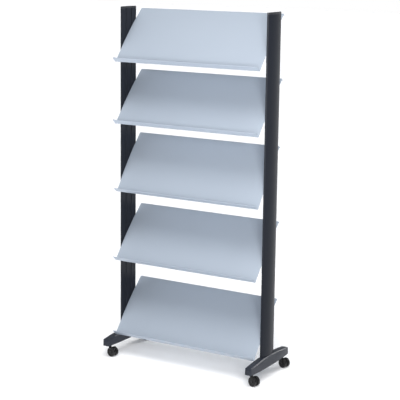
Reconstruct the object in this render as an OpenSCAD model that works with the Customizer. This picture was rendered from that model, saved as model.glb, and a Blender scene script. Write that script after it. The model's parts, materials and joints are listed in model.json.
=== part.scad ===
// Mobile newspaper and magazine rack: two slotted aluminium uprights on
// moulded feet with twin-wheel casters, carrying five curved steel shelves.
// Frame: +Z up, +X to the rack's right seen from the front, the front faces -Y,
// origin on the floor under the middle of the rack.  Millimetres.

/* [Overall] */
// Height from the floor to the top of the caps
rack_h = 1655; // [1600:5:1700]
// Distance between the inner faces of the two uprights
inner_w = 755; // [500:5:900]

/* [Uprights] */
// Depth of an upright, front to back
upright_d = 123; // [112:1:130]
// Thickness of an upright across the rack
upright_t = 20; // [18:1:24]
// Radius of the rounded front and rear edges of the outer face
upright_edge_r = 10; // [8:0.5:12]
// Wall of the extrusion
upright_wall = 2; // [1.6:0.1:2.4]
// Distance of each fixing slot from the middle of the inner face
slot_y = 22; // [20:1:24]
// Thickness of the end cap on each upright
cap_h = 8; // [6:1:12]

/* [Shelves] */
// Length of a shelf along the rack
shelf_w = 750; // [480:5:890]
// Straight distance from a shelf's front fold to its rear edge
shelf_chord = 328; // [310:1:335]
// How far the middle of a shelf bulges in front of that straight line
shelf_bulge = 6.3; // [4:0.1:9]
// Thickness of the shelf steel
sheet_t = 1.2; // [1:0.1:2]
// Depth of the front lip
lip_depth = 30; // [20:1:34]
// Height of the middle of the top shelf above the floor
top_shelf_z = 1525; // [1500:1:1535]
// Distance from the top shelf down to the second
first_pitch = 288; // [280:1:290]
// How much each further shelf distance grows
pitch_growth = 25.8; // [22:0.2:27]
// Slope of a shelf from the horizontal
shelf_tilt = 47; // [42:1:52]
// Slope of the middle shelf, which is set steeper
middle_tilt = 52; // [42:1:54]

/* [Feet and casters] */
// Length of a foot, front to back
foot_len = 374; // [360:1:390]
// Width of the underside of a foot at its middle
foot_mid_w = 52; // [50:1:58]
// Width of the underside of a foot near its ends
foot_end_w = 33; // [30:1:36]
// Width of the top of a foot
foot_top_w = 29; // [28:0.5:30]
// Height of the underside of the foot above the floor
foot_z = 55; // [54:1:60]
// Distance between the front and rear caster stems
caster_span = 300; // [280:1:306]
// Diameter of a caster wheel
wheel_d = 44; // [42:1:46]
// Distance of the wheel axle behind the stem
caster_trail = 18; // [16:0.5:20]
// Angle the right-hand casters have swung round their stems
swing_right = -20; // [-30:1:0]
// Angle the left-hand casters have swung round their stems
swing_left = -11; // [-30:1:0]

/* [Hidden] */
$fn = 64;

// Sides of the rack as multipliers of X, and of its depth as multipliers of Y
LEFT = -1;
RIGHT = 1;
FRONT = -1;
REAR = 1;

// Colours
anthracite = [0.22, 0.23, 0.26];
foot_grey = [0.30, 0.32, 0.35];
silver_blue = [0.68, 0.73, 0.79];
zinc = [0.72, 0.72, 0.70];
caster_black = [0.06, 0.06, 0.07];
black_steel = [0.12, 0.12, 0.13];

// Upright: the outer face is one large arc that runs into the two edge arcs
inner_x = inner_w / 2;
upright_foot_z = 71;
upright_top_z = rack_h - cap_h;
edge_y = upright_d / 2 - upright_edge_r;
face_r = (pow(edge_y, 2) + pow(upright_t, 2) - pow(upright_edge_r, 2))
    / (2 * (upright_t - upright_edge_r));
slot_mouth = 7;
slot_lip = 2.5;
slot_room_w = 12;
slot_room_d = 5;
slot_wall = 1.6;
port_y = 41;
port_x = 7;
port_bore = 6.3;
port_wall_r = 5.5;

// Shelf: an arc about a line parallel to X, below and behind the shelf
bulge_r = (pow(shelf_chord / 2, 2) + pow(shelf_bulge, 2)) / (2 * shelf_bulge);
arc_fn = 720;
bend_r = 3;
hem_r = 0.6;
hem_len = 9;
rear_flange = 10;
corner_r = 9;
shelf_y = -4;
shelf_count = 5;
half_span = asin(shelf_chord / 2 / bulge_r);
bend_allowance = asin((bend_r + sheet_t) / bulge_r);
panel_end = half_span - bend_allowance;

// Shelf brackets: an L section swept along the underside of the shelf
bracket_t = 2.5;
paint_gap = 0.04;
bracket_web = 42;
bracket_shelf_w = 26;
bracket_low = -2.7;
bracket_high = 2.4;
screw_drop = 27;
screw_d = 5.9;
screw_hole = 6.5;
screw_head_d = 10.5;
screw_head_h = 3.2;
screw_len = 9.6;
stud_d = 4.9;
stud_hole = 5.4;
stud_len = 9;
stud_nut_d = 10;
stud_nut_h = 4;
stud_angles = [-1.6, 1.6];
stud_x = 14;

// Foot
foot_x = 383.5;
foot_crown_z = 100.5;
foot_end_drop = 13;
foot_crown_r = 60;
foot_chamfer = 2.5;
foot_corner_r = 5;
foot_end_r = 16;
foot_side_r = (pow(foot_len / 2, 2) + pow((foot_mid_w - foot_end_w) / 2, 2))
    / (foot_mid_w - foot_end_w);
foot_arch_r = (pow(foot_len / 2, 2) + pow(foot_end_drop, 2)) / (2 * foot_end_drop);
foot_seat_gap = 0.3;
pocket = [20, 56, 29];
pocket_y = 98;
bolt_d = 6;
bolt_head_d = 11;
bolt_head_h = 5;
bolt_len = 46;

// Casters
socket_d = 14;
socket_flange_d = 18;
socket_flange_h = 1.4;
socket_len = 32;
stem_d = 10;
running_gap = 0.05;
neck_d = 12;
neck_low_z = wheel_d + 1.6;
neck_top_z = foot_z - 2;
web_t = 7.5;
web_r = wheel_d / 2 - 4;
axle_d = 5;
axle_head_d = 9;
axle_head_h = 1.2;
wheel_w = 12.5;
wheel_gap = 0.5;
wheel_edge = 2;
axle_recess = [6, 0.9];
wheel_rings = [[8.5, 5, 1.6], [15.5, 4.5, 1]];
wheel_r = wheel_d / 2;
wheel_in = web_t / 2 + wheel_gap;
wheel_out = wheel_in + wheel_w;

// Height of the middle of shelf k, where k is 0 for the top shelf
function shelf_z(k) = top_shelf_z - k * first_pitch - pitch_growth * k * (k - 1) / 2;

// Slope of shelf k
function tilt(k) = k == 2 ? middle_tilt : shelf_tilt;

// ---------------------------------------------------------------- helpers

// Cylinder of length h lying along X from x0
module along_x(d, x0, h) {
    translate([x0, 0, 0]) rotate([0, 90, 0]) cylinder(d = d, h = h);
}

// Cylinder of length h lying along Y from y0
module along_y(d, y0, h) {
    translate([0, y0, 0]) rotate([-90, 0, 0]) cylinder(d = d, h = h);
}

// ---------------------------------------------------------------- uprights

// D-shaped outline, flat face at x = 0, shrunk all round by inset
module upright_outline(inset = 0) {
    t = upright_t - inset;
    y_tangent = edge_y * face_r / (face_r - upright_edge_r);
    intersection() {
        translate([inset, -upright_d]) square([t - inset, 2 * upright_d]);
        union() {
            intersection() {
                translate([upright_t - face_r, 0]) circle(r = face_r - inset, $fn = 360);
                translate([0, -y_tangent]) square([upright_t, 2 * y_tangent]);
            }
            for (side = [-1, 1])
                translate([0, side * edge_y]) circle(r = upright_edge_r - inset);
        }
    }
}

// Walls round one fixing slot, before the slot is cut
module slot_body() {
    depth = slot_lip + slot_room_d + slot_wall;
    translate([0, -slot_room_w / 2 - slot_wall]) square([depth, slot_room_w + 2 * slot_wall]);
}

// The T-shaped void of one fixing slot
module slot_void() {
    translate([-1, -slot_mouth / 2]) square([slot_lip + 2, slot_mouth]);
    translate([slot_lip, -slot_room_w / 2]) square([slot_room_d, slot_room_w]);
}

// Cross-section of the extrusion with its inner face at x = 0
module upright_section() {
    difference() {
        union() {
            difference() {
                upright_outline();
                upright_outline(upright_wall);
            }
            intersection() {
                upright_outline();
                union() {
                    for (side = [-1, 1]) {
                        translate([0, side * slot_y]) slot_body();
                        translate([port_x, side * port_y]) circle(r = port_wall_r);
                    }
                    translate([0, -upright_wall / 2]) square([upright_t, upright_wall]);
                }
            }
        }
        for (side = [-1, 1]) {
            translate([0, side * slot_y]) slot_void();
            translate([port_x, side * port_y]) circle(d = port_bore);
        }
    }
}

// Puts its children, drawn with the inner face at x = 0, on one side of the rack
module on_upright(side) {
    if (side == LEFT) mirror([1, 0, 0]) translate([inner_x, 0, 0]) children();
    else translate([inner_x, 0, 0]) children();
}

module upright(side) {
    color(anthracite)
        on_upright(side)
            translate([0, 0, upright_foot_z])
                linear_extrude(upright_top_z - upright_foot_z) upright_section();
}

module top_cap(side) {
    peg_len = 22;
    color(anthracite * 0.6)
        on_upright(side) {
            translate([0, 0, upright_top_z]) linear_extrude(cap_h) upright_outline();
            for (end = [-1, 1])
                translate([port_x, end * port_y, upright_top_z - peg_len])
                    cylinder(d = port_bore - 0.2, h = peg_len);
        }
}

// ---------------------------------------------------------------- feet

// Rectangle in the plane of the floor with its corners rounded
module rounded_plate(w, len, r) {
    square([w, len - 2 * r], center = true);
    square([w - 2 * r, len], center = true);
    for (side = [-1, 1], end = [FRONT, REAR])
        translate([side * (w / 2 - r), end * (len / 2 - r)]) circle(r = r);
}

// Boat-shaped outline of the foot's underside: two long arcs with square ends
module foot_plan() {
    intersection() {
        foot_side_disc(LEFT);
        foot_side_disc(RIGHT);
        union() {
            rounded_plate(foot_end_w, foot_len, foot_corner_r);
            square([foot_mid_w, foot_len - 2 * foot_corner_r], center = true);
        }
    }
}

// Large disc whose edge is one long side of the underside
module foot_side_disc(side) {
    translate([side * (foot_side_r - foot_mid_w / 2), 0]) circle(r = foot_side_r, $fn = 720);
}

// The foot's sides: they lean in from the boat-shaped underside to the narrow top
module foot_sides() {
    plate = 1;
    hull() {
        translate([0, 0, foot_z]) linear_extrude(plate) foot_plan();
        translate([0, 0, foot_crown_z]) linear_extrude(plate)
            rounded_plate(foot_top_w, foot_len, foot_corner_r);
    }
}

// Side view of the foot, drawn in Y and Z: the upper ends are rounds that touch the arch
module foot_side_view() {
    y_round = foot_len / 2 - foot_end_r;
    z_round = foot_crown_z - foot_arch_r
        + sqrt(pow(foot_arch_r - foot_end_r, 2) - pow(y_round, 2));
    y_touch = y_round * foot_arch_r / (foot_arch_r - foot_end_r);
    translate([-y_touch, foot_z]) square([2 * y_touch, foot_crown_z + 1 - foot_z]);
    for (end = [FRONT, REAR]) {
        translate([end * y_round, z_round]) circle(r = foot_end_r);
        translate([end * y_round - foot_end_r, foot_z])
            square([2 * foot_end_r, z_round - foot_z]);
    }
}

// Arched and crowned block with chamfered edges that gives the foot its top
module foot_crown() {
    span = 2 * asin(foot_len / 2 / foot_arch_r) + 1;
    depth = 80;
    half_w = foot_top_w / 2 - foot_chamfer;
    flank = foot_mid_w - half_w;
    translate([0, 0, foot_crown_z - foot_arch_r])
        rotate([0, -90, 0])
            rotate([0, 0, -span / 2])
                rotate_extrude(angle = span, $fn = arc_fn)
                    intersection() {
                        polygon([
                            [foot_arch_r - depth, -foot_mid_w], [foot_arch_r - flank, -foot_mid_w],
                            [foot_arch_r, -half_w], [foot_arch_r, half_w],
                            [foot_arch_r - flank, foot_mid_w], [foot_arch_r - depth, foot_mid_w],
                        ]);
                        translate([foot_arch_r - foot_crown_r, 0])
                            circle(r = foot_crown_r, $fn = 120);
                    }
}

module foot(side) {
    seat_x = inner_x - foot_x;
    color(foot_grey)
        mirror([side == LEFT ? 1 : 0, 0, 0])
            translate([foot_x, 0, 0])
                difference() {
                    intersection() {
                        foot_crown();
                        foot_sides();
                        rotate([90, 0, 90])
                            linear_extrude(2 * foot_mid_w, center = true) foot_side_view();
                    }
                    // recess in the top that takes the end of the upright
                    translate([seat_x, 0, upright_foot_z])
                        linear_extrude(foot_crown_z) upright_outline(-foot_seat_gap);
                    foot_underside_cuts(seat_x);
                }
}

// Pockets that lighten the moulding, caster socket bores and bolt holes
module foot_underside_cuts(seat_x) {
    for (end = [FRONT, REAR]) {
        translate([0, end * pocket_y, foot_z - 1])
            linear_extrude(pocket[2] + 1) rounded_plate(pocket[0], pocket[1], foot_corner_r);
        translate([0, end * caster_span / 2, foot_z - 1])
            cylinder(d = socket_d, h = socket_len - socket_flange_h + 1);
        translate([seat_x + port_x, end * port_y, foot_z - 1]) {
            cylinder(d = bolt_d + 0.6, h = upright_foot_z);
            cylinder(d = bolt_head_d + 2, h = bolt_head_h + 2);
        }
    }
}

// Two socket-head bolts that hold the upright down on the foot
module foot_bolts(side) {
    head_z = foot_z + 1;
    color(zinc)
        on_upright(side)
            for (end = [-1, 1])
                translate([port_x, end * port_y, head_z])
                    difference() {
                        union() {
                            cylinder(d = bolt_head_d, h = bolt_head_h);
                            translate([0, 0, bolt_head_h]) cylinder(d = bolt_d, h = bolt_len);
                        }
                        translate([0, 0, -1]) cylinder(d = 5.8, h = 4, $fn = 6);
                    }
}

// ---------------------------------------------------------------- shelves

// Frame of shelf k: Y runs up the slope, Z stands off the front face
module on_shelf(k) {
    translate([0, shelf_y, shelf_z(k)]) rotate([tilt(k), 0, 0]) children();
}

// Frame on the front face of the shelf, angle degrees up the slope from its middle
module on_face(angle) {
    translate([0, 0, shelf_bulge - bulge_r])
        rotate([-angle, 0, 0])
            translate([0, 0, bulge_r]) children();
}

// The two halves of a shelf's section, each a list of strokes that start at the
// middle of the panel and run outwards: [length, turn in degrees, steps]
function arc_stroke(r, turn, steps) = [r * abs(turn) * PI / 180, turn, steps];

rear_strokes = [
    arc_stroke(bulge_r - sheet_t / 2, -panel_end, 16),
    arc_stroke(bend_r + sheet_t / 2, -90, 6),
    [rear_flange, 0, 1],
];
front_strokes = [
    arc_stroke(bulge_r - sheet_t / 2, -panel_end, 16),
    arc_stroke(bend_r + sheet_t / 2, 90 + panel_end, 6),
    [lip_depth - bend_r - 2 * sheet_t - hem_r, 0, 1],
    arc_stroke(hem_r + sheet_t / 2, 180, 6),
    [hem_len, 0, 1],
];

// Direction and length of every step along a list of strokes
function step_dirs(strokes, i = 0, from = 0) =
    i == len(strokes) ? [] : concat(
        [for (j = [1 : strokes[i][2]]) from + strokes[i][1] * (j - 0.5) / strokes[i][2]],
        step_dirs(strokes, i + 1, from + strokes[i][1]));
function step_lens(strokes) = [for (s = strokes) for (j = [1 : s[2]]) s[0] / s[2]];

// Points reached by taking those steps one after another from p
function walk(dirs, lens, p, i = 0) =
    i == len(dirs) ? [p]
        : concat([p], walk(dirs, lens, p + lens[i] * [cos(dirs[i]), sin(dirs[i])], i + 1));

// The walked points moved sideways by d, to one surface of the sheet
function surface_points(strokes, d) =
    let (
        dirs = step_dirs(strokes),
        last = len(dirs) - 1,
        points = walk(dirs, step_lens(strokes), [0, shelf_bulge - sheet_t / 2])
    )
    [for (i = [0 : last + 1])
        let (
            before = dirs[max(i - 1, 0)],
            after = dirs[min(i, last)],
            dir = i == 0 ? 0 : (before + after) / 2,
            reach = i == 0 ? d : d / cos((after - before) / 2)
        )
        points[i] + reach * [-sin(dir), cos(dir)]];

function reversed(list) = [for (i = [len(list) - 1 : -1 : 0]) list[i]];

// Outline of one half of the section, from its top surface round to its bottom one
function half_outline(strokes) =
    concat(surface_points(strokes, sheet_t / 2), reversed(surface_points(strokes, -sheet_t / 2)));

// Section of a shelf: the panel, front lip with its hem, and rear flange
module shelf_section() {
    front = [for (p = reversed(half_outline(front_strokes))) [-p[0], p[1]]];
    rear = half_outline(rear_strokes);
    polygon(concat(front, rear));
}

// Offcuts that round the two rear corners of the shelf, seen square on
module corner_offcuts() {
    top = shelf_chord / 2;
    for (side = [-1, 1])
        translate([side * (shelf_w / 2 - corner_r), top - corner_r, -shelf_chord / 2])
            linear_extrude(shelf_chord)
                difference() {
                    translate([side > 0 ? 0 : -2 * corner_r, 0]) square(2 * corner_r);
                    circle(r = corner_r);
                }
}

module shelf(k) {
    color(silver_blue)
        on_shelf(k)
            difference() {
                rotate([90, 0, 90]) linear_extrude(shelf_w, center = true) shelf_section();
                corner_offcuts();
            }
}

// Where the line of screws, screw_drop behind the chord, crosses a slot:
// distance up the slope of shelf k for the slot at y
function screw_u(k, y) = (y - shelf_y - screw_drop * sin(tilt(k))) / cos(tilt(k));

// Height of that crossing above the floor
function screw_z(k, y) =
    shelf_z(k) + screw_u(k, y) * sin(tilt(k)) - screw_drop * cos(tilt(k));

// Places its children at the four stud positions of a shelf, Z off its front face
module at_studs(side) {
    for (angle = stud_angles)
        on_face(angle)
            translate([side * (inner_x - stud_x), 0, -sheet_t]) children();
}

// Places its children on both slot crossings of one upright, X pointing outwards
module at_screws(k, side) {
    for (y = [-slot_y, slot_y])
        on_upright(side)
            translate([0, y, screw_z(k, y)]) children();
}

// Points on an arc about the shelf's bulge axis, from angle a0 to a1
function bulge_arc(r, a0, a1, steps = 12) =
    [for (i = [0 : steps])
        let (a = a0 + (a1 - a0) * i / steps)
        [r * sin(a), r * cos(a) + shelf_bulge - bulge_r]];

// Part of a bracket's side view between two depths below the shelf steel
module bracket_band(top, bottom, extra = 0) {
    r = bulge_r - sheet_t;
    polygon(concat(
        bulge_arc(r - top, bracket_low - extra, bracket_high + extra),
        bulge_arc(r - bottom, bracket_high + extra, bracket_low - extra)));
}

// Bracket of shelf k, trimmed to stay just inside the upright's front and rear edges
module bracket(k, side) {
    arm_x = inner_x - bracket_shelf_w;
    trim_y = upright_d / 2 - 3;
    color(silver_blue * 0.9)
        difference() {
            intersection() {
                on_shelf(k)
                    mirror([side == LEFT ? 1 : 0, 0, 0])
                        difference() {
                            translate([arm_x, 0, 0]) rotate([90, 0, 90])
                                linear_extrude(bracket_shelf_w) bracket_band(paint_gap, bracket_web);
                            translate([arm_x - 1, 0, 0]) rotate([90, 0, 90])
                                linear_extrude(bracket_shelf_w - bracket_t + 1)
                                    bracket_band(bracket_t, bracket_web + 1, 1);
                            at_studs(RIGHT)
                                translate([0, 0, -stud_len]) cylinder(d = stud_hole, h = stud_len + 2);
                        }
                translate([-inner_w, -trim_y, 0]) cube([2 * inner_w, 2 * trim_y, rack_h]);
            }
            at_screws(k, side) along_x(screw_hole, -bracket_t - 1, bracket_t + 2);
        }
}

// Button-head screw along X, underside of its head at x = 0
module button_screw() {
    difference() {
        union() {
            along_x(screw_head_d, -screw_head_h, screw_head_h);
            along_x(screw_d, 0, screw_len);
        }
        rotate([0, 90, 0]) translate([0, 0, -screw_head_h - 1]) cylinder(d = 4.6, h = 3, $fn = 6);
    }
}

// Stud on the underside of the shelf with the nut that clamps the bracket
module stud_and_nut() {
    translate([0, 0, -stud_len]) cylinder(d = stud_d, h = stud_len);
    translate([0, 0, -bracket_t - stud_nut_h - paint_gap])
        difference() {
            cylinder(d = stud_nut_d, h = stud_nut_h, $fn = 6);
            translate([0, 0, -1]) cylinder(d = stud_d + 0.1, h = stud_nut_h + 2);
        }
}

module shelf_fixings(k) {
    color(zinc)
        for (side = [LEFT, RIGHT]) {
            at_screws(k, side) translate([-bracket_t, 0, 0]) button_screw();
            on_shelf(k) at_studs(side) stud_and_nut();
        }
}

// The sliding nuts in the two slots of one upright, two for each shelf
module slot_nuts(side) {
    nut = [slot_room_d - 1.2, slot_room_w - 0.6, 18];
    color(zinc)
        for (k = [0 : shelf_count - 1])
            at_screws(k, side)
                translate([slot_lip, 0, 0])
                    difference() {
                        translate([0, -nut[1] / 2, -nut[2] / 2]) cube(nut);
                        along_x(screw_d + 0.2, -1, nut[0] + 2);
                    }
}

// ---------------------------------------------------------------- casters

// Frame of one caster: origin on the floor under the stem, the wheels trail
// towards +X and their axle lies along Y
module at_caster(side, end) {
    swing = side == RIGHT ? swing_right : swing_left;
    translate([side * foot_x, end * caster_span / 2, 0]) rotate([0, 0, swing]) children();
}

module caster_socket(side, end) {
    color(zinc)
        at_caster(side, end)
            translate([0, 0, foot_z - socket_flange_h])
                difference() {
                    union() {
                        cylinder(d = socket_flange_d, h = socket_flange_h);
                        cylinder(d = socket_d, h = socket_len);
                    }
                    translate([0, 0, -1])
                        cylinder(d = stem_d + 2 * running_gap, h = socket_len + 2);
                }
}

module caster_stem(side, end) {
    stem_top = foot_z + socket_len - socket_flange_h - 1;
    color(zinc)
        at_caster(side, end)
            translate([0, 0, neck_top_z]) {
                cylinder(d = stem_d, h = stem_top - neck_top_z - 1);
                translate([0, 0, stem_top - neck_top_z - 1])
                    cylinder(d1 = stem_d, d2 = stem_d - 2, h = 1);
            }
}

// Disc between the wheels, with the neck that carries the stem
module caster_body(side, end) {
    shoulder = neck_low_z - wheel_r;
    color(caster_black)
        at_caster(side, end)
            difference() {
                union() {
                    translate([caster_trail, 0, wheel_r]) along_y(2 * web_r, -web_t / 2, web_t);
                    translate([-neck_d / 2, -web_t / 2, wheel_r])
                        cube([neck_d, web_t, shoulder + 2]);
                    translate([0, 0, neck_low_z])
                        cylinder(d = neck_d, h = neck_top_z - neck_low_z);
                }
                translate([caster_trail, 0, wheel_r])
                    along_y(axle_d, -web_t / 2 - 1, web_t + 2);
            }
}

module caster_axle(side, end) {
    hub_out = wheel_out - 0.6;
    color(black_steel)
        at_caster(side, end)
            translate([caster_trail, 0, wheel_r]) {
                along_y(axle_d, -hub_out, 2 * hub_out);
                for (way = [-1, 1])
                    along_y(axle_head_d, way > 0 ? hub_out : -hub_out - axle_head_h, axle_head_h);
            }
}

// Half section of a wheel: x is the radius, y the distance from the caster's middle
module wheel_section() {
    bore = axle_d / 2 + running_gap;
    rim = wheel_r - wheel_edge;
    difference() {
        union() {
            translate([bore, wheel_in]) square([rim - bore, wheel_w]);
            translate([bore, wheel_in + wheel_edge])
                square([wheel_r - bore, wheel_w - 2 * wheel_edge]);
            for (y = [wheel_in + wheel_edge, wheel_out - wheel_edge])
                translate([rim, y]) circle(r = wheel_edge, $fn = 32);
        }
        translate([0, wheel_out - axle_recess[1]]) square([axle_recess[0], 2]);
        // rings in the outer face: inner radius, width and depth of each
        for (ring = wheel_rings)
            translate([ring[0], wheel_out - ring[2]]) square([ring[1], 2 * ring[2]]);
    }
}

// way is -1 for the wheel on the front side of the caster, 1 for the rear one
module caster_wheel(side, end, way) {
    color(caster_black)
        at_caster(side, end)
            translate([caster_trail, 0, wheel_r])
                rotate([way > 0 ? -90 : 90, 0, 0])
                    rotate_extrude($fn = 96) wheel_section();
}

// ---------------------------------------------------------------- drawing

upright(LEFT);  // left_upright
upright(RIGHT);  // right_upright
top_cap(LEFT);  // left_top_cap
top_cap(RIGHT);  // right_top_cap
foot(LEFT);  // left_foot
foot(RIGHT);  // right_foot
foot_bolts(LEFT);  // left_foot_bolts
foot_bolts(RIGHT);  // right_foot_bolts
slot_nuts(LEFT);  // left_slot_nuts
slot_nuts(RIGHT);  // right_slot_nuts

shelf(0);  // shelf_1
shelf(1);  // shelf_2
shelf(2);  // shelf_3
shelf(3);  // shelf_4
shelf(4);  // shelf_5
bracket(0, LEFT);  // shelf_1_left_bracket
bracket(1, LEFT);  // shelf_2_left_bracket
bracket(2, LEFT);  // shelf_3_left_bracket
bracket(3, LEFT);  // shelf_4_left_bracket
bracket(4, LEFT);  // shelf_5_left_bracket
bracket(0, RIGHT);  // shelf_1_right_bracket
bracket(1, RIGHT);  // shelf_2_right_bracket
bracket(2, RIGHT);  // shelf_3_right_bracket
bracket(3, RIGHT);  // shelf_4_right_bracket
bracket(4, RIGHT);  // shelf_5_right_bracket
shelf_fixings(0);  // shelf_1_fixings
shelf_fixings(1);  // shelf_2_fixings
shelf_fixings(2);  // shelf_3_fixings
shelf_fixings(3);  // shelf_4_fixings
shelf_fixings(4);  // shelf_5_fixings

caster_socket(LEFT, FRONT);  // front_left_caster_socket
caster_stem(LEFT, FRONT);  // front_left_caster_stem
caster_body(LEFT, FRONT);  // front_left_caster_body
caster_axle(LEFT, FRONT);  // front_left_caster_axle
caster_wheel(LEFT, FRONT, -1);  // front_left_wheel_front
caster_wheel(LEFT, FRONT, 1);  // front_left_wheel_rear
caster_socket(RIGHT, FRONT);  // front_right_caster_socket
caster_stem(RIGHT, FRONT);  // front_right_caster_stem
caster_body(RIGHT, FRONT);  // front_right_caster_body
caster_axle(RIGHT, FRONT);  // front_right_caster_axle
caster_wheel(RIGHT, FRONT, -1);  // front_right_wheel_front
caster_wheel(RIGHT, FRONT, 1);  // front_right_wheel_rear
caster_socket(LEFT, REAR);  // rear_left_caster_socket
caster_stem(LEFT, REAR);  // rear_left_caster_stem
caster_body(LEFT, REAR);  // rear_left_caster_body
caster_axle(LEFT, REAR);  // rear_left_caster_axle
caster_wheel(LEFT, REAR, -1);  // rear_left_wheel_front
caster_wheel(LEFT, REAR, 1);  // rear_left_wheel_rear
caster_socket(RIGHT, REAR);  // rear_right_caster_socket
caster_stem(RIGHT, REAR);  // rear_right_caster_stem
caster_body(RIGHT, REAR);  // rear_right_caster_body
caster_axle(RIGHT, REAR);  // rear_right_caster_axle
caster_wheel(RIGHT, REAR, -1);  // rear_right_wheel_front
caster_wheel(RIGHT, REAR, 1);  // rear_right_wheel_rear
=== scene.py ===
import json
import math

import bpy
from mathutils import Matrix, Vector


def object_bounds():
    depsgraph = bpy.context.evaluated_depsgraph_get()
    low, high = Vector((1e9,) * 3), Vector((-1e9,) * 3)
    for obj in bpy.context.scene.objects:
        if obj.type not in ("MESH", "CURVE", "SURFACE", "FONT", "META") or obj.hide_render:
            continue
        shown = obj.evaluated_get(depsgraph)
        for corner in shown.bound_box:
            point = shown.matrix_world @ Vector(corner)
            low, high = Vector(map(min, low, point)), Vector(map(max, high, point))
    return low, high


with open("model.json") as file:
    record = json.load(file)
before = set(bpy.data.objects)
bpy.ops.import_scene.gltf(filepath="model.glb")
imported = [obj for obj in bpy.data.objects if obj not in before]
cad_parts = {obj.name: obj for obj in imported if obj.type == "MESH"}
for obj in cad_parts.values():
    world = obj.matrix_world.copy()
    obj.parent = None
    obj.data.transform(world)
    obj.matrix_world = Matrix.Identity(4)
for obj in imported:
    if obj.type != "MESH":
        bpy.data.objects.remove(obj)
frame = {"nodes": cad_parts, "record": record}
cad_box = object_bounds()

MM = 0.001
SENSOR_MM = 36.0
BEVEL_SAMPLES = 6

# A Mix node has a set of sockets for each kind of data. These are its colour sockets.
MIX_COLOR_A, MIX_COLOR_B, MIX_COLOR_RESULT = 6, 7, 2


# ---------------------------------------------------------------- node helpers


def new_material(name):
    """An empty node material and its Principled shader."""
    material = bpy.data.materials.new(name)
    material.use_nodes = True
    return material, material.node_tree.nodes["Principled BSDF"]


def add_node(material, kind, **values):
    """A node of that kind. A value sets the input of its name, or else the property."""
    node = material.node_tree.nodes.new(kind)
    for name, value in values.items():
        label = name.replace("_", " ")
        matches = [s for s in node.inputs if s.name.lower() == label.lower()]
        if matches:
            matches[0].default_value = value
        else:
            setattr(node, name, value)
    return node


def link(material, source, target):
    material.node_tree.links.new(source, target)


def object_coordinates(material, stretch=(1, 1, 1)):
    """Object coordinates, in metres, multiplied by stretch along X, Y and Z."""
    coordinates = add_node(material, "ShaderNodeTexCoord")
    mapping = add_node(material, "ShaderNodeMapping")
    mapping.inputs["Scale"].default_value = stretch
    link(material, coordinates.outputs["Object"], mapping.inputs["Vector"])
    return mapping.outputs["Vector"]


def noise(material, vector, scale, detail, roughness=0.5):
    """Cloudy noise with about scale blotches to the metre, before any stretch."""
    node = add_node(material, "ShaderNodeTexNoise", scale=scale, detail=detail)
    node.inputs["Roughness"].default_value = roughness
    link(material, vector, node.inputs["Vector"])
    return node.outputs["Fac"]


def remap(material, value, low, high, from_low=0.3, from_high=0.7):
    """value, taken from from_low..from_high to low..high and held there. A noise keeps mostly
    within the range that is used when none is given."""
    node = add_node(material, "ShaderNodeMapRange")
    node.inputs["From Min"].default_value = from_low
    node.inputs["From Max"].default_value = from_high
    node.inputs["To Min"].default_value = low
    node.inputs["To Max"].default_value = high
    link(material, value, node.inputs["Value"])
    return node.outputs["Result"]


def mix_colors(material, factor, a, b):
    """Colour a where factor is 0 and b where it is 1. a and b are colours or sockets."""
    node = add_node(material, "ShaderNodeMix", data_type="RGBA")
    link(material, factor, node.inputs["Factor"])
    for index, value in ((MIX_COLOR_A, a), (MIX_COLOR_B, b)):
        socket = node.inputs[index]
        if isinstance(value, bpy.types.NodeSocket):
            link(material, value, socket)
        else:
            socket.default_value = (*value, 1.0)
    return node.outputs[MIX_COLOR_RESULT]


def bump(material, height, distance, strength, normal):
    """normal, bumped by height, whose full range is distance metres."""
    node = add_node(material, "ShaderNodeBump", strength=strength, distance=distance)
    link(material, height, node.inputs["Height"])
    link(material, normal, node.inputs["Normal"])
    return node.outputs["Normal"]


def rounded_edges(material, radius):
    """A normal that rolls over sharp edges, as a moulded or coated edge does."""
    node = add_node(material, "ShaderNodeBevel", samples=BEVEL_SAMPLES, radius=radius)
    return node.outputs["Normal"]


def sharp_edge_mask(material, radius, low, high):
    """1 along sharp edges, falling to 0 on open faces."""
    geometry = add_node(material, "ShaderNodeNewGeometry")
    bevel = add_node(material, "ShaderNodeBevel", samples=BEVEL_SAMPLES, radius=radius)
    dot = add_node(material, "ShaderNodeVectorMath", operation="DOT_PRODUCT")
    link(material, geometry.outputs["Normal"], dot.inputs[0])
    link(material, bevel.outputs["Normal"], dot.inputs[1])
    return remap(material, dot.outputs["Value"], 1.0, 0.0, low, high)


# ---------------------------------------------------------------- materials


def upright_coat():
    """Anthracite coating on an extrusion: faint lines along Z and a fine grain. Its sharp edges get
    a painted highlight, a lighter grey mixed into the colour.
    """
    material, shader = new_material("anthracite_coat")
    along_z = object_coordinates(material, stretch=(900, 900, 3))
    lines = noise(material, along_z, scale=1.0, detail=2.0)
    patches = noise(material, object_coordinates(material), scale=4.0, detail=3.0)
    grain = noise(material, object_coordinates(material), scale=1800.0, detail=2.0)
    base = mix_colors(material, patches, (0.009, 0.011, 0.016), (0.012, 0.014, 0.020))
    # painted highlight: the colour turns towards a lighter grey along sharp edges, at most 0.35 of
    # the way
    edge_band = sharp_edge_mask(material, 1.5 * MM, low=0.90, high=0.999)
    painted_edge_highlight = remap(material, edge_band, 0, 0.35, from_low=0, from_high=1)
    link(material, mix_colors(material, painted_edge_highlight, base, (0.09, 0.10, 0.12)),
         shader.inputs["Base Color"])
    link(material, remap(material, lines, 0.36, 0.46), shader.inputs["Roughness"])
    shader.inputs["Specular IOR Level"].default_value = 0.12
    soft_edges = rounded_edges(material, 1.2 * MM)
    grained = bump(material, grain, 0.03 * MM, strength=0.5, normal=soft_edges)
    link(material, bump(material, lines, 0.02 * MM, strength=0.6, normal=grained),
         shader.inputs["Normal"])
    return material


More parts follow.
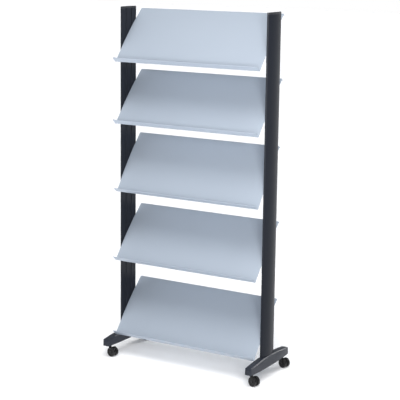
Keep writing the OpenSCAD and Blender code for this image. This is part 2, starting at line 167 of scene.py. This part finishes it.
def moulded_plastic(name, dark, light, rough, grain_scale, grain_depth, edge, specular=0.4):
    """Moulded plastic with a spark-eroded grain, slight cloudiness and soft edges. Its colour
    drifts from dark to light, and edge is the radius that its edges seem to have."""
    roughness_drift = 0.05
    material, shader = new_material(name)
    clouds = noise(material, object_coordinates(material), scale=14.0, detail=4.0)
    grain = noise(material, object_coordinates(material), grain_scale, detail=3.0, roughness=0.6)
    link(material, mix_colors(material, clouds, dark, light), shader.inputs["Base Color"])
    link(material, remap(material, clouds, rough - roughness_drift, rough + roughness_drift),
         shader.inputs["Roughness"])
    shader.inputs["Specular IOR Level"].default_value = specular
    soft_edges = rounded_edges(material, edge)
    link(material, bump(material, grain, grain_depth, strength=0.7, normal=soft_edges),
         shader.inputs["Normal"])
    return material


def powder_coat(name, dark, light):
    """Satin powder coat on sheet steel: orange peel, metallic flecks, slight cloudiness."""
    fleck_gain = 1.22
    material, shader = new_material(name)
    vector = object_coordinates(material)
    clouds = noise(material, vector, scale=2.2, detail=3.0)
    flecks = noise(material, vector, scale=2600.0, detail=1.0)
    peel = noise(material, vector, scale=420.0, detail=2.0)
    base = mix_colors(material, clouds, dark, light)
    bright = tuple(min(1.0, fleck_gain * c) for c in light)
    shown = remap(material, flecks, 0.0, 0.30, from_low=0.55, from_high=0.75)
    link(material, mix_colors(material, shown, base, bright), shader.inputs["Base Color"])
    shader.inputs["Metallic"].default_value = 0.25
    link(material, remap(material, flecks, 0.50, 0.42), shader.inputs["Roughness"])
    shader.inputs["Coat Weight"].default_value = 0.12
    shader.inputs["Coat Roughness"].default_value = 0.25
    soft_edges = rounded_edges(material, 0.6 * MM)
    link(material, bump(material, peel, 0.04 * MM, strength=0.35, normal=soft_edges),
         shader.inputs["Normal"])
    return material


def zinc_plate():
    """Bright zinc plating with a slight yellow-blue mottling."""
    material, shader = new_material("zinc_plate")
    mottle = noise(material, object_coordinates(material), scale=160.0, detail=4.0)
    along_y = object_coordinates(material, stretch=(3000, 200, 3000))
    scratches = noise(material, along_y, scale=1.0, detail=2.0)
    link(material, mix_colors(material, mottle, (0.52, 0.53, 0.56), (0.66, 0.64, 0.58)),
         shader.inputs["Base Color"])
    shader.inputs["Metallic"].default_value = 1.0
    link(material, remap(material, scratches, 0.24, 0.42), shader.inputs["Roughness"])
    soft_edges = rounded_edges(material, 0.4 * MM)
    link(material, bump(material, scratches, 0.01 * MM, strength=0.4, normal=soft_edges),
         shader.inputs["Normal"])
    return material


# The keys are the material slots of the record.
MATERIALS = {
    "upright_coat": upright_coat(),
    "cap_plastic": moulded_plastic(
        "black_cap_plastic", dark=(0.014, 0.015, 0.018), light=(0.020, 0.021, 0.025),
        rough=0.5, grain_scale=1500, grain_depth=0.05 * MM, edge=1.2 * MM),
    "foot_plastic": moulded_plastic(
        "grey_foot_plastic", dark=(0.017, 0.020, 0.028), light=(0.023, 0.027, 0.037),
        rough=0.40, grain_scale=900, grain_depth=0.05 * MM, edge=0.9 * MM, specular=0.25),
    "shelf_paint": powder_coat(
        "silver_blue_powder_coat", dark=(0.345, 0.395, 0.465), light=(0.375, 0.425, 0.495)),
    "bracket_paint": powder_coat(
        "bracket_powder_coat", dark=(0.325, 0.375, 0.445), light=(0.355, 0.405, 0.475)),
    "zinc_plate": zinc_plate(),
    "black_oxide": moulded_plastic(
        "black_oxide_steel", dark=(0.016, 0.016, 0.018), light=(0.024, 0.024, 0.027),
        rough=0.35, grain_scale=2000, grain_depth=0.01 * MM, edge=0.4 * MM),
    "caster_plastic": moulded_plastic(
        "black_caster_nylon", dark=(0.005, 0.005, 0.006), light=(0.009, 0.009, 0.01),
        rough=0.36, grain_scale=1200, grain_depth=0.03 * MM, edge=0.8 * MM, specular=0.3),
    "wheel_plastic": moulded_plastic(
        "black_wheel_nylon", dark=(0.003, 0.003, 0.004), light=(0.006, 0.006, 0.007),
        rough=0.27, grain_scale=1600, grain_depth=0.01 * MM, edge=1.2 * MM, specular=0.32),
}


def paint_nodes():
    """Every CAD node gets the detailed material of its slot in the record."""
    for subpart in frame["record"]["subparts"]:
        node = frame["nodes"][subpart["node"]]
        node.data.materials.clear()
        node.data.materials.append(MATERIALS[subpart["material_slot"]])


# ---------------------------------------------------------------- surroundings


def pale_floor():
    """A large plain floor that melts into the white background. It glows a little, so that its
    shadows stay pale."""
    side = 60
    bpy.ops.mesh.primitive_plane_add(size=side, location=(0, 0, 0))
    floor = bpy.context.object
    floor.name = "floor"
    material, shader = new_material("pale_floor")
    shader.inputs["Base Color"].default_value = (0.96, 0.96, 0.97, 1)
    shader.inputs["Emission Color"].default_value = (0.95, 0.97, 1.0, 1)
    shader.inputs["Emission Strength"].default_value = 0.05
    shader.inputs["Roughness"].default_value = 0.7
    shader.inputs["Specular IOR Level"].default_value = 0.15
    floor.data.materials.append(material)


def white_surroundings(front_strength, rear_strength):
    """White to the camera. To everything else a soft light, which goes from front_strength at
    the front (-Y) to rear_strength behind."""
    reach = 0.6  # how far towards front and rear the strength goes on changing, 1 being all the way
    world = bpy.data.worlds.new("studio")
    world.use_nodes = True
    bpy.context.scene.world = world
    nodes, links = world.node_tree.nodes, world.node_tree.links
    coordinates = nodes.new("ShaderNodeTexCoord")
    direction = nodes.new("ShaderNodeSeparateXYZ")
    links.new(coordinates.outputs["Generated"], direction.inputs["Vector"])
    ramp = nodes.new("ShaderNodeMapRange")
    ramp.inputs["From Min"].default_value = -reach
    ramp.inputs["From Max"].default_value = reach
    ramp.inputs["To Min"].default_value = front_strength
    ramp.inputs["To Max"].default_value = rear_strength
    links.new(direction.outputs["Y"], ramp.inputs["Value"])
    soft = nodes["Background"]
    soft.inputs["Color"].default_value = (0.93, 0.965, 1.0, 1)
    links.new(ramp.outputs["Result"], soft.inputs["Strength"])
    white = nodes.new("ShaderNodeBackground")
    white.inputs["Strength"].default_value = 1.0
    white.inputs["Color"].default_value = (1, 1, 1, 1)
    path = nodes.new("ShaderNodeLightPath")
    mix = nodes.new("ShaderNodeMixShader")
    is_camera, for_others, for_camera = mix.inputs
    links.new(path.outputs["Is Camera Ray"], is_camera)
    links.new(soft.outputs["Background"], for_others)
    links.new(white.outputs["Background"], for_camera)
    links.new(mix.outputs["Shader"], nodes["World Output"].inputs["Surface"])


def soft_light(name, place, aim, size, spread, power, color):
    """A square area light at place, pointing at aim. Its light fans out over spread degrees."""
    data = bpy.data.lights.new(name, "AREA")
    data.shape = "SQUARE"
    data.size = size
    data.spread = math.radians(spread)
    data.energy = power
    data.color = color
    light = bpy.data.objects.new(name, data)
    light.location = place
    light.rotation_euler = (Vector(aim) - Vector(place)).to_track_quat("-Z", "Y").to_euler()
    bpy.context.scene.collection.objects.link(light)


def sun_light(name, azimuth, height, spread, strength):
    """A white sun, spread degrees across. It stands height degrees up and azimuth degrees round
    from the front (-Y) towards +X."""
    azimuth, height = math.radians(azimuth), math.radians(height)
    data = bpy.data.lights.new(name, "SUN")
    data.angle = math.radians(spread)
    data.energy = strength
    light = bpy.data.objects.new(name, data)
    level = math.cos(height)
    source = Vector((math.sin(azimuth) * level, -math.cos(azimuth) * level, math.sin(height)))
    light.rotation_euler = (-source).to_track_quat("-Z", "Y").to_euler()
    bpy.context.scene.collection.objects.link(light)


def studio_camera(place, yaw, pitch, roll, focal, shift):
    """A camera at place. yaw turns it left of +Y, pitch tips it down and roll lifts its right
    side, all in degrees. focal and shift are in sensor widths."""
    yaw, pitch, roll = (math.radians(a) for a in (yaw, pitch, roll))
    ahead = math.cos(pitch)
    forward = Vector((-math.sin(yaw) * ahead, math.cos(yaw) * ahead, -math.sin(pitch)))
    level = Vector((math.cos(yaw), math.sin(yaw), 0))
    upright = level.cross(forward)
    right = level * math.cos(roll) + upright * math.sin(roll)
    up = -level * math.sin(roll) + upright * math.cos(roll)
    data = bpy.data.cameras.new("studio_camera")
    data.sensor_width = SENSOR_MM
    data.lens = focal * SENSOR_MM
    data.shift_x, data.shift_y = shift
    data.clip_end = 100  # beyond the far corners of the floor
    camera = bpy.data.objects.new("studio_camera", data)
    axes = Matrix((right, up, -forward)).transposed()
    camera.matrix_world = Matrix.Translation(place) @ axes.to_4x4()
    bpy.context.scene.collection.objects.link(camera)
    bpy.context.scene.camera = camera


# ---------------------------------------------------------------- the scene

paint_nodes()

rack_top = cad_box[1][2]
upper_shelves = (0.05, 0, rack_top / 2 + 0.6)

pale_floor()
white_surroundings(front_strength=0.31, rear_strength=0.39)
soft_light("key", place=(1.9, -2.7, rack_top - 0.1), aim=upper_shelves,
           size=1.6, spread=80, power=30, color=(1.0, 0.99, 0.98))
sun_light("overhead", azimuth=20, height=72, spread=46, strength=2.1)
sun_light("rim", azimuth=160, height=26, spread=15, strength=1.1)

studio_camera(place=(2.8431, -4.8467, 1.9396), yaw=30.757, pitch=10.763, roll=0.592,
              focal=3.0973, shift=(0.0269, -0.05))
bpy.context.scene.view_settings.view_transform = "Standard"
